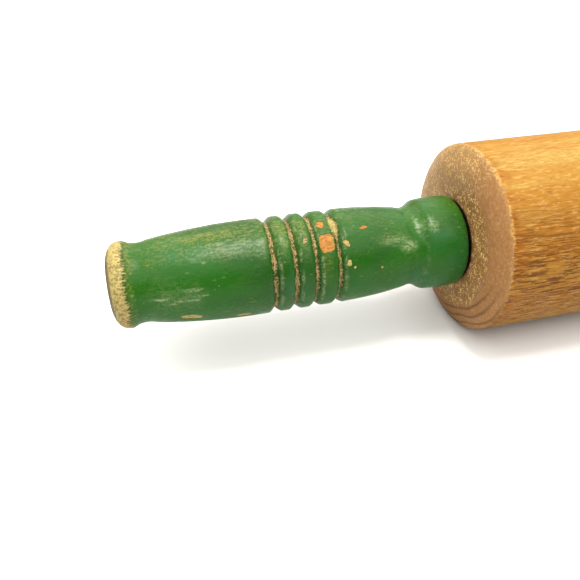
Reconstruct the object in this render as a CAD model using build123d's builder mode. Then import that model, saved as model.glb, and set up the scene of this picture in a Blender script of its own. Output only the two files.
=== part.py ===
"""Rolling pin: a turned wooden barrel that spins on a steel rod between two painted wooden handles.

Units are millimetres. The rod runs along X, +Z is up, and the origin is the middle of the barrel
on the rod's axis. Each end of the pin is the mirror image of the other.
"""
from build123d import *
from math import cos, pi
import os

os.makedirs("parts", exist_ok=True)

# Overall sizes
BARREL_LENGTH = 254.0          # between the flat middles of the two end faces
BARREL_DIA = 57.0
HANDLE_LENGTH = 100.4
ROD_DIA = 6.35

# Barrel ends: a rounded band falls away from the flat middle to the rim
DOME_WIDTH = 8.2
DOME_DROP = 3.0
RIM_ROUND = 0.5
ROD_HOLE_EXTRA = 1.2           # on radius, where the rod passes between the bushes

# Flanged bushes pressed into the barrel's ends
BUSH_LENGTH = 18.0
BUSH_WALL = 1.0
BUSH_FLANGE_WIDTH = 3.0
BUSH_FLANGE_THICKNESS = 0.9

# Running clearances, on radius
BUSH_CLEARANCE = 0.07
HANDLE_CLEARANCE = 0.08

# Thrust washers on the rod, in the gap between barrel and handle
THRUST_WASHER_WIDTH = 3.6
THRUST_WASHER_THICKNESS = 0.55
THRUST_WASHER_PLAY = 0.3       # on each side
WASHER_FIT = 0.05              # on radius

# Handle, inner end: a collar, then a cove that rises to a shoulder
COLLAR_LENGTH = 11.1
COLLAR_DIA = 27.5
COLLAR_END_DIA = 26.8
COLLAR_EDGE_ROUND = 0.8
COLLAR_LIP_ROUND = 1.2
COVE_CENTRE_AT = 14.6
COVE_DIA = 23.0
COVE_END_AT = 17.2
COVE_END_DIA = 23.8
WAIST_AT = 25.0
WAIST_DIA = 25.65
SHOULDER_AT = 35.5
SHOULDER_DIA = 26.9

# Handle, middle: V grooves that leave beads between them
GROOVE_AT = (38.05, 44.55, 50.4, 56.25)
GROOVE_WIDTH = 2.7
GROOVE_DEPTH = 1.45
GROOVE_LIP_ROUND = 0.7

# Handle, outer end: the grip tapers to a neck, then an end bead
GRIP_AT = 62.5
GRIP_DIA = 27.2
TAPER_DIA = 26.1               # halfway from there to the start of the neck
NECK_START_FROM_END = 11.2
NECK_START_DIA = 23.3
NECK_FROM_END = 7.7
NECK_DIA = 22.3
BEAD_START_FROM_END = 6.0
BEAD_START_DIA = 23.0
BEAD_FROM_END = 4.0
BEAD_DIA = 24.4
BEAD_END_FROM_END = 1.3
BEAD_END_DIA = 22.2
END_FACE_DIA = 18.6

# End fastening, hidden in a counterbore behind a plug
NUT_WALL = 2.4
NUT_THICKNESS = 5.5
NUT_CHAMFER = 0.5
END_WASHER_RIM = 0.3           # past the nut's corners
END_WASHER_THICKNESS = 1.2
COUNTERBORE_CLEARANCE = 0.4    # round the end washer, on radius
END_PLAY = 0.3                 # between the end washer and the counterbore's floor
ROD_PAST_NUT = 1.2
ROD_END_CHAMFER = 0.6
ROD_TO_PLUG_GAP = 1.5
PLUG_LENGTH = 5.0
PLUG_CHAMFER = 0.4

# Sizes that follow from those above
barrel_radius = BARREL_DIA / 2
face_x = BARREL_LENGTH / 2
rod_radius = ROD_DIA / 2
bush_bore_radius = rod_radius + BUSH_CLEARANCE
bush_radius = bush_bore_radius + BUSH_WALL
bush_flange_radius = bush_radius + BUSH_FLANGE_WIDTH
washer_hole_radius = rod_radius + WASHER_FIT
thrust_washer_x = face_x + THRUST_WASHER_PLAY
handle_x = thrust_washer_x + THRUST_WASHER_THICKNESS + THRUST_WASHER_PLAY
handle_end_x = handle_x + HANDLE_LENGTH
plug_x = handle_end_x - PLUG_LENGTH
rod_end_x = plug_x - ROD_TO_PLUG_GAP
nut_x = rod_end_x - ROD_PAST_NUT - NUT_THICKNESS
end_washer_x = nut_x - END_WASHER_THICKNESS
counterbore_floor_x = end_washer_x - END_PLAY
nut_flat_radius = rod_radius + NUT_WALL
end_washer_radius = nut_flat_radius / cos(pi / 6) + END_WASHER_RIM
counterbore_radius = end_washer_radius + COUNTERBORE_CLEARANCE

SIDES = {"left": -1, "right": 1}


def outline_plane(outward, x):
    """Plane for an outline to be revolved: its own x runs outward from the given place on the rod."""
    return Plane(origin=(outward * x, 0, 0), x_dir=(outward, 0, 0), z_dir=(0, 0, outward))


def section_plane(outward, x):
    """Plane square to the rod at the given distance from the middle, facing outward."""
    return Plane(origin=(outward * x, 0, 0), x_dir=(0, 1, 0), z_dir=(outward, 0, 0))


def rings_between(piece, outward, low_x, high_x):
    """Edges that run round the rod's axis, between two distances from the middle."""
    rings = piece.edges().filter_by(lambda edge: edge.bounding_box().size.X < 0.001)
    return rings.filter_by(lambda edge: low_x < outward * edge.center().X < high_x)


def save(piece, name):
    """Label one finished piece and write it to its own STEP file."""
    piece.label = name
    export_step(piece, f"parts/{name}.step")


def export_washer(name, outward, x, outer_radius, thickness):
    """A plain washer on the rod whose inner face is at x."""
    with BuildPart() as washer:
        with BuildSketch(section_plane(outward, x)):
            Circle(outer_radius)
            Circle(washer_hole_radius, mode=Mode.SUBTRACT)
        extrude(amount=thickness)
    save(washer.part, name)


# Barrel
with BuildPart() as barrel:
    with BuildSketch(Plane.XY):
        with BuildLine():
            Polyline(
                (0, 0),
                (face_x, 0),
                (face_x, barrel_radius - DOME_WIDTH),
            )
            TangentArc(
                (face_x, barrel_radius - DOME_WIDTH),
                (face_x - DOME_DROP, barrel_radius),
                tangent=(0, 1),
            )
            Polyline(
                (face_x - DOME_DROP, barrel_radius),
                (0, barrel_radius),
                (0, 0),
            )
        make_face()
        mirror(about=Plane.YZ)
    revolve(axis=Axis.X)
    rim_x = face_x - DOME_DROP
    for outward in SIDES.values():
        fillet(rings_between(barrel, outward, rim_x - 0.1, rim_x + 0.1), RIM_ROUND)
    with BuildSketch(section_plane(1, -face_x)):
        Circle(rod_radius + ROD_HOLE_EXTRA)
    extrude(amount=BARREL_LENGTH, mode=Mode.SUBTRACT)
    for outward in SIDES.values():
        with BuildSketch(section_plane(outward, face_x - BUSH_LENGTH)):
            Circle(bush_radius)
        extrude(amount=BUSH_LENGTH, mode=Mode.SUBTRACT)
        with BuildSketch(section_plane(outward, face_x - BUSH_FLANGE_THICKNESS)):
            Circle(bush_flange_radius)
        extrude(amount=BUSH_FLANGE_THICKNESS, mode=Mode.SUBTRACT)
barrel.part.label = "barrel"
export_step(barrel.part, "parts/barrel.step")

# Axle rod
with BuildPart() as axle_rod:
    with BuildSketch(section_plane(1, -rod_end_x)):
        Circle(rod_radius)
    extrude(amount=2 * rod_end_x)
    for outward in SIDES.values():
        chamfer(rings_between(axle_rod, outward, rod_end_x - 0.1, rod_end_x + 0.1), ROD_END_CHAMFER)
axle_rod.part.label = "axle_rod"
export_step(axle_rod.part, "parts/axle_rod.step")

for side, outward in SIDES.items():
    # Flanged bush, its flange flush with the barrel's end face
    with BuildPart() as bush:
        with BuildSketch(section_plane(outward, face_x - BUSH_LENGTH)):
            Circle(bush_radius)
        extrude(amount=BUSH_LENGTH)
        with BuildSketch(section_plane(outward, face_x - BUSH_FLANGE_THICKNESS)):
            Circle(bush_flange_radius)
        extrude(amount=BUSH_FLANGE_THICKNESS)
        with BuildSketch(section_plane(outward, face_x - BUSH_LENGTH)):
            Circle(bush_bore_radius)
        extrude(amount=BUSH_LENGTH, mode=Mode.SUBTRACT)
    save(bush.part, f"{side}_barrel_bush")

    # Washers
    export_washer(
        f"{side}_thrust_washer",
        outward,
        thrust_washer_x,
        rod_radius + THRUST_WASHER_WIDTH,
        THRUST_WASHER_THICKNESS,
    )
    export_washer(
        f"{side}_end_washer",
        outward,
        end_washer_x,
        end_washer_radius,
        END_WASHER_THICKNESS,
    )

    # Handle
    with BuildPart() as handle:
        with BuildSketch(outline_plane(outward, handle_x)):
            with BuildLine():
                collar_face = (0, COLLAR_END_DIA / 2)
                collar_lip = (COLLAR_LENGTH, COLLAR_END_DIA / 2)
                cove_end = (COVE_END_AT, COVE_END_DIA / 2)
                shoulder = (SHOULDER_AT, SHOULDER_DIA / 2)
                grip = (GRIP_AT, GRIP_DIA / 2)
                neck_start = (HANDLE_LENGTH - NECK_START_FROM_END, NECK_START_DIA / 2)
                taper = ((grip[0] + neck_start[0]) / 2, TAPER_DIA / 2)
                bead_start = (HANDLE_LENGTH - BEAD_START_FROM_END, BEAD_START_DIA / 2)
                bead_end = (HANDLE_LENGTH - BEAD_END_FROM_END, BEAD_END_DIA / 2)
                Line((0, 0), collar_face)
                ThreePointArc(collar_face, (COLLAR_LENGTH / 2, COLLAR_DIA / 2), collar_lip)
                ThreePointArc(collar_lip, (COVE_CENTRE_AT, COVE_DIA / 2), cove_end)
                ThreePointArc(cove_end, (WAIST_AT, WAIST_DIA / 2), shoulder)
                Line(shoulder, grip)
                ThreePointArc(grip, taper, neck_start)
                ThreePointArc(neck_start, (HANDLE_LENGTH - NECK_FROM_END, NECK_DIA / 2), bead_start)
                ThreePointArc(bead_start, (HANDLE_LENGTH - BEAD_FROM_END, BEAD_DIA / 2), bead_end)
                Polyline(bead_end, (HANDLE_LENGTH, END_FACE_DIA / 2), (HANDLE_LENGTH, 0), (0, 0))
            make_face()
        revolve(axis=Axis.X)

        # Round the collar's end and the lip over the cove
        fillet(rings_between(handle, outward, handle_x - 0.1, handle_x + 0.1), COLLAR_EDGE_ROUND)
        lip_x = handle_x + COLLAR_LENGTH
        fillet(rings_between(handle, outward, lip_x - 0.1, lip_x + 0.1), COLLAR_LIP_ROUND)

        # V grooves with rounded lips
        for groove_at in GROOVE_AT:
            share = (groove_at - SHOULDER_AT) / (GRIP_AT - SHOULDER_AT)
            surface = (SHOULDER_DIA + share * (GRIP_DIA - SHOULDER_DIA)) / 2
            with BuildSketch(outline_plane(outward, handle_x + groove_at)):
                # Drawn at twice the groove's width, so that it also clears the surface
                Polygon(
                    (0, surface - GROOVE_DEPTH),
                    (GROOVE_WIDTH, surface + GROOVE_DEPTH),
                    (-GROOVE_WIDTH, surface + GROOVE_DEPTH),
                    align=None,
                )
            revolve(axis=Axis.X, mode=Mode.SUBTRACT)
            for lip_x in (handle_x + groove_at - GROOVE_WIDTH / 2, handle_x + groove_at + GROOVE_WIDTH / 2):
                lip = rings_between(handle, outward, lip_x - GROOVE_WIDTH / 4, lip_x + GROOVE_WIDTH / 4)
                fillet(lip, GROOVE_LIP_ROUND)

        # Rod hole and counterbore
        with BuildSketch(section_plane(outward, handle_x)):
            Circle(rod_radius + HANDLE_CLEARANCE)
        extrude(amount=HANDLE_LENGTH, mode=Mode.SUBTRACT)
        with BuildSketch(section_plane(outward, counterbore_floor_x)):
            Circle(counterbore_radius)
        extrude(amount=handle_end_x - counterbore_floor_x, mode=Mode.SUBTRACT)
    save(handle.part, f"{side}_handle")

    # Hexagon nut
    with BuildPart() as nut:
        with BuildSketch(section_plane(outward, nut_x)):
            RegularPolygon(nut_flat_radius, 6, major_radius=False)
            Circle(rod_radius, mode=Mode.SUBTRACT)
        extrude(amount=NUT_THICKNESS)
        outer_face = nut.faces().sort_by(lambda face: outward * face.center().X)[-1]
        chamfer(outer_face.outer_wire().edges(), NUT_CHAMFER)
    save(nut.part, f"{side}_end_nut")

    # Wooden plug, flush with the handle's end
    with BuildPart() as plug:
        with BuildSketch(section_plane(outward, plug_x)):
            Circle(counterbore_radius)
        extrude(amount=PLUG_LENGTH)
        chamfer(rings_between(plug, outward, handle_end_x - 0.1, handle_end_x + 0.1), PLUG_CHAMFER)
    save(plug.part, f"{side}_end_plug")
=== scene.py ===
"""Looks of an old wooden rolling pin: an oiled barrel between two worn, green-painted handles."""
import logging
import math
from dataclasses import dataclass, field
from enum import Enum
from typing import Any, Iterable, NamedTuple, Sequence

import bmesh
import bpy
from mathutils import Matrix, Vector, noise


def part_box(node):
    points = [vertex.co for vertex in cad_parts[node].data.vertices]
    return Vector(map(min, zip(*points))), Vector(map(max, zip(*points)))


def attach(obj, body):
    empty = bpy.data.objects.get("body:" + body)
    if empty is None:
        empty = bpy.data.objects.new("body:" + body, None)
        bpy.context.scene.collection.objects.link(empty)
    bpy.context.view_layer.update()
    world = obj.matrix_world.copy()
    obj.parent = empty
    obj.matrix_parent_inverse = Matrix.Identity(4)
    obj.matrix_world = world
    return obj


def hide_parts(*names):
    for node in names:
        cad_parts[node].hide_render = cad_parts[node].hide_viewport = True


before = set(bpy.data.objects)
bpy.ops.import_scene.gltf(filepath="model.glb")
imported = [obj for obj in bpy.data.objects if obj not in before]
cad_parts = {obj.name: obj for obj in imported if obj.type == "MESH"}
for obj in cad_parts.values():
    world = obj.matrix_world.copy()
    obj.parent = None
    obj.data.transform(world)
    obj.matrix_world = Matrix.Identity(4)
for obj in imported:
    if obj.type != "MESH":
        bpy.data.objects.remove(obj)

log = logging.getLogger("rolling_pin")

MM = 0.001                     # one millimetre in metres
COLLAR_RADIUS = 13.40          # millimetres
ZERO = (0.0, 0.0, 0.0)

Colour = tuple[float, float, float]
Triple = tuple[float, float, float]
Place = tuple[float, float]
Socket = bpy.types.NodeSocket
Axes = tuple[Socket, Socket, Socket]


class End(Enum):
    """The two ends of the pin, with the way each one points along the rod."""

    LEFT = -1
    RIGHT = 1

    @property
    def label(self) -> str:
        """The word that starts the names of this end's pieces."""
        return self.name.lower()


class BareWood(Enum):
    """How the wood shows where paint has gone, from a grimy tan to freshly bared orange."""

    TAN = 0.0
    YELLOW = 0.5
    AMBER = 0.7
    ORANGE = 1.0


class Mark(Enum):
    """The ways use has marked the paint; the pale scrape kind also serves for painted highlights."""

    CHIPPED = "bare wood shows"
    RUBBED = "worn thin"
    # Pale marks: real scrapes and scratches, and also painted highlights
    SCUFFED = "pale scrape in the paint"


# --------------------------------------------------------------------------- small helpers


def clamp(value: float, low: float = 0.0, high: float = 1.0) -> float:
    """Keep a value between two limits."""
    return max(low, min(high, value))


def ease(value: float, low: float, high: float) -> float:
    """Smooth step from 0 at low to 1 at high.

    Args:
        value: The value to test.
        low: Where the step starts.
        high: Where the step ends.

    Returns:
        A value from 0 to 1.
    """
    share = clamp((value - low) / (high - low))
    return share * share * (3 - 2 * share)


def arc_radius(at: float, start: Place, middle: Place, finish: Place) -> float:
    """Radius of a turned outline on the arc of a circle through three of its points.

    Args:
        at: Place along the rod.
        start: First (along, radius) point of the arc.
        middle: A point between the ends.
        finish: Last point of the arc.

    Returns:
        The outline's radius at that place.
    """
    (ax, ay), (bx, by), (cx, cy) = start, middle, finish
    turn = 2 * (ax * (by - cy) + bx * (cy - ay) + cx * (ay - by))
    a2, b2, c2 = ax * ax + ay * ay, bx * bx + by * by, cx * cx + cy * cy
    centre_x = (a2 * (by - cy) + b2 * (cy - ay) + c2 * (ay - by)) / turn
    centre_y = (a2 * (cx - bx) + b2 * (ax - cx) + c2 * (bx - ax)) / turn
    size = math.hypot(ax - centre_x, ay - centre_y)
    rise = math.sqrt(max(size * size - (at - centre_x) ** 2, 0.0))
    return centre_y + rise if by > centre_y else centre_y - rise


def node_ends(node: str, end: End) -> tuple[float, float, float]:
    """Where a CAD node lies along the rod, and how thick it is.

    Args:
        node: The node's name.
        end: The end of the pin that it belongs to.

    Returns:
        Its inner and outer distance from the middle of the pin, and its radius.
    """
    low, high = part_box(node)
    reach = sorted((low[0] * end.value, high[0] * end.value))
    return reach[0], reach[1], (high[2] - low[2]) / 2


def spun_piece(name: str, outline: Iterable[Place], segments: int) -> bpy.types.Object:
    """Spin a closed outline round the rod into a solid piece.

    Args:
        name: The new object's name.
        outline: (x, radius) points of the closed outline, in metres.
        segments: Steps round the rod.

    Returns:
        The new object, linked to the scene.
    """
    mesh_data = bpy.data.meshes.new(name)
    shape = bmesh.new()
    points = [shape.verts.new((x, 0.0, radius)) for x, radius in outline]
    for here, after in zip(points, points[1:] + points[:1]):
        shape.edges.new((here, after))
    bmesh.ops.spin(
        shape,
        geom=list(shape.verts) + list(shape.edges),
        cent=(0, 0, 0),
        axis=(1, 0, 0),
        angle=math.tau,
        steps=segments,
        use_merge=True,
    )
    bmesh.ops.remove_doubles(shape, verts=shape.verts, dist=1e-7)
    bmesh.ops.recalc_face_normals(shape, faces=shape.faces)
    shape.to_mesh(mesh_data)
    shape.free()
    piece = bpy.data.objects.new(name, mesh_data)
    bpy.context.scene.collection.objects.link(piece)
    for polygon in mesh_data.polygons:
        polygon.use_smooth = True
    return piece


def even_steps(start: float, finish: float, step: float) -> list[float]:
    """Evenly spaced places from start to finish, both included.

    Args:
        start: First place.
        finish: Last place.
        step: The largest spacing allowed.

    Returns:
        The places in order.
    """
    count = max(1, math.ceil(abs(finish - start) / step))
    return [start + (finish - start) * i / count for i in range(count + 1)]


def store_values(piece: bpy.types.Object, name: str, values: Sequence[float]) -> None:
    """Store one value for each vertex of a piece, for its material to read."""
    layer = piece.data.attributes.new(name, "FLOAT", "POINT")
    layer.data.foreach_set("value", values)


# --------------------------------------------------------------------------- shader nodes


@dataclass
class NodeSheet:
    """Adds nodes to one node tree and wires them as it goes.

    A source is another node's output, a number, a vector or a colour.
    """

    tree: bpy.types.NodeTree

    def add(self, kind: str, **settings: Any) -> bpy.types.Node:
        """Add a node.

        Args:
            kind: The node's Blender type.
            settings: Properties to set on it.

        Returns:
            The new node.
        """
        node = self.tree.nodes.new(kind)
        for key, value in settings.items():
            setattr(node, key, value)
        return node

    def feed(self, socket: Socket, source: Any) -> None:
        """Give an input socket a link or a plain value."""
        if isinstance(source, bpy.types.NodeSocket):
            self.tree.links.new(source, socket)
        elif socket.type == "RGBA" and len(source) == 3:
            socket.default_value = (*source, 1.0)
        else:
            socket.default_value = source

    def math(self, operation: str, *sources: Any, clamped: bool = False) -> Socket:
        """One arithmetic step.

        Args:
            operation: Blender's name for the step.
            sources: The one or two values it works on.
            clamped: Whether the result is kept between 0 and 1.

        Returns:
            The result.
        """
        node = self.add("ShaderNodeMath", operation=operation, use_clamp=clamped)
        for socket, source in zip(node.inputs, sources):
            self.feed(socket, source)
        return node.outputs[0]

    def times(self, first: Any, second: Any, clamped: bool = False) -> Socket:
        """Product of two values."""
        return self.math("MULTIPLY", first, second, clamped=clamped)

    def plus(self, first: Any, second: Any, clamped: bool = False) -> Socket:
        """Sum of two values."""
        return self.math("ADD", first, second, clamped=clamped)

    def minus(self, first: Any, second: Any) -> Socket:
        """The first value less the second."""
        return self.math("SUBTRACT", first, second)

    def larger(self, first: Any, second: Any) -> Socket:
        """The larger of two values."""
        return self.math("MAXIMUM", first, second)

    def size(self, value: Any) -> Socket:
        """A value without its sign."""
        return self.math("ABSOLUTE", value)

    def step(self, value: Any, low: Any, high: Any, out_low: Any = 0.0, out_high: Any = 1.0) -> Socket:
        """Smooth step of a value from out_low at low to out_high at high."""
        node = self.add("ShaderNodeMapRange", interpolation_type="SMOOTHSTEP")
        for socket, source in zip(node.inputs, (value, low, high, out_low, out_high)):
            self.feed(socket, source)
        return node.outputs[0]

    def blend(self, share: Any, first: Any, second: Any) -> Socket:
        """Mix two colours by a share from 0 to 1."""
        node = self.add("ShaderNodeMix", data_type="RGBA")
        for number, source in ((0, share), (6, first), (7, second)):
            self.feed(node.inputs[number], source)
        return node.outputs[2]

    def stretch(self, vector: Any, rates: Any, turn: Triple = ZERO, shift: Triple = ZERO) -> Socket:
        """Scale, turn and shift the coordinates of a pattern."""
        node = self.add("ShaderNodeMapping", vector_type="POINT")
        for label, source in (("Vector", vector), ("Scale", rates), ("Rotation", turn), ("Location", shift)):
            self.feed(node.inputs[label], source)
        return node.outputs[0]

    def noise(
        self, vector: Any, rate: float, detail: float = 2.0, roughness: float = 0.5, twist: float = 0.0
    ) -> Socket:
        """Cloudy noise from 0 to 1, which changes at a rate per metre."""
        node = self.add("ShaderNodeTexNoise")
        self.feed(node.inputs["Vector"], vector)
        labels = ("Scale", "Detail", "Roughness", "Distortion")
        for label, value in zip(labels, (rate, detail, roughness, twist)):
            node.inputs[label].default_value = value
        return node.outputs["Fac"]

    def streaks(
        self,
        vector: Any,
        rates: Any,
        detail: float = 2.0,
        roughness: float = 0.5,
        twist: float = 0.0,
        shift: Triple = ZERO,
    ) -> Socket:
        """Cloudy noise that is drawn out along some axes.

        Args:
            vector: Position on the piece.
            rates: How fast it changes along each axis, per metre.
            detail: How many finer layers are added.
            roughness: How strong those layers are.
            twist: How much the pattern is bent.
            shift: Moves the pattern, so that two of them differ.

        Returns:
            A value from 0 to 1.
        """
        return self.noise(self.stretch(vector, rates, shift=shift), 1.0, detail, roughness, twist)

    def cells(self, vector: Any) -> tuple[Socket, Socket, Socket]:
        """Scattered cells: the distance to the nearest one's middle, and two random values for it."""
        node = self.add("ShaderNodeTexVoronoi")
        self.feed(node.inputs["Vector"], vector)
        node.inputs["Scale"].default_value = 1.0
        tint = self.add("ShaderNodeSeparateColor")
        self.feed(tint.inputs[0], node.outputs["Color"])
        return node.outputs["Distance"], tint.outputs[0], tint.outputs[1]

    def axes(self, vector: Any) -> tuple[Socket, Socket, Socket]:
        """The x, y and z of a vector."""
        node = self.add("ShaderNodeSeparateXYZ")
        self.feed(node.inputs[0], vector)
        return node.outputs[0], node.outputs[1], node.outputs[2]

    def vector(self, *parts: Any) -> Socket:
        """A vector from its x, y and z."""
        node = self.add("ShaderNodeCombineXYZ")
        for socket, part in zip(node.inputs, parts):
            self.feed(socket, part)
        return node.outputs[0]

    def length(self, vector: Any) -> Socket:
        """The length of a vector."""
        node = self.add("ShaderNodeVectorMath", operation="LENGTH")
        self.feed(node.inputs[0], vector)
        return node.outputs["Value"]

    def attribute(self, name: str) -> Socket:
        """One of the values stored on the mesh."""
        return self.add("ShaderNodeAttribute", attribute_name=name).outputs["Fac"]

    def place(self) -> Socket:
        """Position on the piece, in metres."""
        return self.add("ShaderNodeTexCoord").outputs["Object"]

    def bump(self, height: Any, strength: float, distance: float) -> Socket:
        """Turn a height from 0 to 1 into a bumped normal."""
        node = self.add("ShaderNodeBump")
        node.inputs["Strength"].default_value = strength
        node.inputs["Distance"].default_value = distance
        self.feed(node.inputs["Height"], height)
        return node.outputs["Normal"]

    def group(self, tree: bpy.types.NodeTree, position: Any, **values: float) -> Any:
        """Use a node group.

        Args:
            tree: The group.
            position: What its Position input gets.
            values: Its other inputs, with underscores for spaces.

        Returns:
            Its outputs, by name.
        """
        node = self.add("ShaderNodeGroup", node_tree=tree)
        self.feed(node.inputs["Position"], position)
        for label, value in values.items():
            self.feed(node.inputs[label.replace("_", " ").capitalize()], value)
        return node.outputs

    def mixed_shader(self, share: Any, first: Socket, second: Socket) -> Socket:
        """Mix two shaders by a share from 0 to 1."""
        node = self.add("ShaderNodeMixShader")
        for socket, source in zip(node.inputs, (share, first, second)):
            self.feed(socket, source)
        return node.outputs[0]


def new_group(name: str, inputs: dict[str, float], outputs: Iterable[str]) -> tuple[NodeSheet, Any, Any]:
    """Start a shader node group with a position input and named values.

    Args:
        name: The group's name.
        inputs: Names and starting values of its float inputs.
        outputs: Names of its float outputs.

    Returns:
        The sheet for its nodes, what its inputs give, and the sockets of its results.
    """
    tree = bpy.data.node_groups.new(name, "ShaderNodeTree")
    tree.interface.new_socket("Position", in_out="INPUT", socket_type="NodeSocketVector")
    for label, value in inputs.items():
        socket = tree.interface.new_socket(label, in_out="INPUT", socket_type="NodeSocketFloat")
        socket.default_value = value
    for label in outputs:
        tree.interface.new_socket(label, in_out="OUTPUT", socket_type="NodeSocketFloat")
    sheet = NodeSheet(tree)
    return sheet, sheet.add("NodeGroupInput").outputs, sheet.add("NodeGroupOutput").inputs


def grain_group() -> bpy.types.NodeTree:
    """Long grain of beech: soft streaks, growth rings, short dark ray flecks and fine fibres along X."""
    off_pith = (0.0, -0.004, -0.006)
    rings_per_metre = 2500.0
    sheet, given, results = new_group(
        "wood_grain", {"Fleck share": 0.5, "Fleck size": 1.0}, ("Streaks", "Rings", "Flecks", "Fibres")
    )
    position = given["Position"]
    streaks = sheet.streaks(position, (14, 260, 260), 4.0, 0.55, 0.4)
    drift = sheet.streaks(position, (9, 55, 55), 2.0)
    from_pith = sheet.length(sheet.stretch(position, (0, 1, 1), shift=off_pith))
    ring_phase = sheet.plus(sheet.times(from_pith, rings_per_metre), sheet.times(drift, 10.0))
    rings = sheet.plus(sheet.times(sheet.math("SINE", ring_phase), 0.5), 0.5)
    bent = sheet.add("ShaderNodeVectorMath", operation="ADD")
    sheet.feed(bent.inputs[0], sheet.stretch(position, (300, 2900, 2900)))
    sheet.feed(bent.inputs[1], sheet.streaks(position, (60, 60, 60), 1.0))
    sized = sheet.add("ShaderNodeVectorMath", operation="SCALE")
    sheet.feed(sized.inputs[0], bent.outputs[0])
    sheet.feed(sized.inputs["Scale"], given["Fleck size"])
    distance, chance, _ = sheet.cells(sized.outputs[0])
    chosen = sheet.math("LESS_THAN", chance, given["Fleck share"])
    flecks = sheet.times(sheet.step(distance, 0.16, 0.46, 1.0, 0.0), chosen)
    fibres = sheet.streaks(position, (160, 4200, 4200), 2.0, 0.6)
    for label, value in (("Streaks", streaks), ("Rings", rings), ("Flecks", flecks), ("Fibres", fibres)):
        sheet.feed(results[label], value)
    return sheet.tree


def speck_group() -> bpy.types.NodeTree:
    """Scattered small specks, drawn out along X by the stretch, where only a share of the cells shows."""
    sheet, given, results = new_group(
        "specks", {"Spacing": 0.9, "Stretch": 2.0, "Share": 0.2, "Size": 0.3}, ("Mask",)
    )
    rate = sheet.math("DIVIDE", 1 / MM, given["Spacing"])
    along = sheet.math("DIVIDE", rate, given["Stretch"])
    distance, chance, girth = sheet.cells(sheet.stretch(given["Position"], sheet.vector(along, rate, rate)))
    reach = sheet.times(given["Size"], sheet.plus(girth, 0.35))
    dot = sheet.step(sheet.math("DIVIDE", distance, reach), 0.6, 1.0, 1.0, 0.0)
    chosen = sheet.math("LESS_THAN", chance, given["Share"])
    sheet.feed(results["Mask"], sheet.times(dot, chosen))
    return sheet.tree


def scratch_group() -> bpy.types.NodeTree:
    """Fine scratches that run near the X direction and break up along their length."""
    sheet, given, results = new_group("scratches", {"Length": 9.0, "Gap": 1.0, "Share": 0.5}, ("Mask",))
    position, share = given["Position"], given["Share"]
    along = sheet.math("DIVIDE", 1 / MM, given["Length"])
    across = sheet.math("DIVIDE", 1 / MM, given["Gap"])
    turned = sheet.stretch(position, (1, 1, 1), turn=(0.0, 0.18, 0.22))
    lines = sheet.streaks(turned, sheet.vector(along, across, across), 1.0, 0.5, 0.3)
    hairline = sheet.step(sheet.size(sheet.minus(lines, 0.5)), 0.0, 0.012, 1.0, 0.0)
    where = sheet.step(sheet.streaks(position, (90, 140, 140), 1.0), share, sheet.plus(share, 0.08))
    sheet.feed(results["Mask"], sheet.times(hairline, where))
    return sheet.tree


@dataclass
class Patterns:
    """The node groups that the finishes share, each built once."""

    grain: bpy.types.NodeTree
    specks: bpy.types.NodeTree
    scratches: bpy.types.NodeTree

    @classmethod
    def build(cls) -> "Patterns":
        """Build the groups."""
        return cls(grain_group(), speck_group(), scratch_group())

    def dots(
        self, sheet: NodeSheet, position: Any, spacing: float, stretch: float, share: float, size: float
    ) -> Socket:
        """Mask of scattered specks.

        Args:
            sheet: The material's sheet.
            position: Position on the piece.
            spacing: Distance between neighbouring specks, in millimetres.
            stretch: How much longer they are along X.
            share: How many of the possible specks show.
            size: Their reach, as a share of the spacing.

        Returns:
            The mask.
        """
        values = {"spacing": spacing, "stretch": stretch, "share": share, "size": size}
        return sheet.group(self.specks, position, **values)["Mask"]


def start_material(name: str) -> tuple[bpy.types.Material, NodeSheet, bpy.types.Node]:
    """Make an empty material with one Principled shader.

    Args:
        name: The material's name.

    Returns:
        The material, the sheet for its nodes and its shader.
    """
    material = bpy.data.materials.new(name)
    material.use_nodes = True
    material.node_tree.nodes.clear()
    sheet = NodeSheet(material.node_tree)
    shader = sheet.add("ShaderNodeBsdfPrincipled")
    output = sheet.add("ShaderNodeOutputMaterial")
    sheet.feed(output.inputs["Surface"], shader.outputs["BSDF"])
    return material, sheet, shader


# --------------------------------------------------------------------------- finishes


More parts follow.
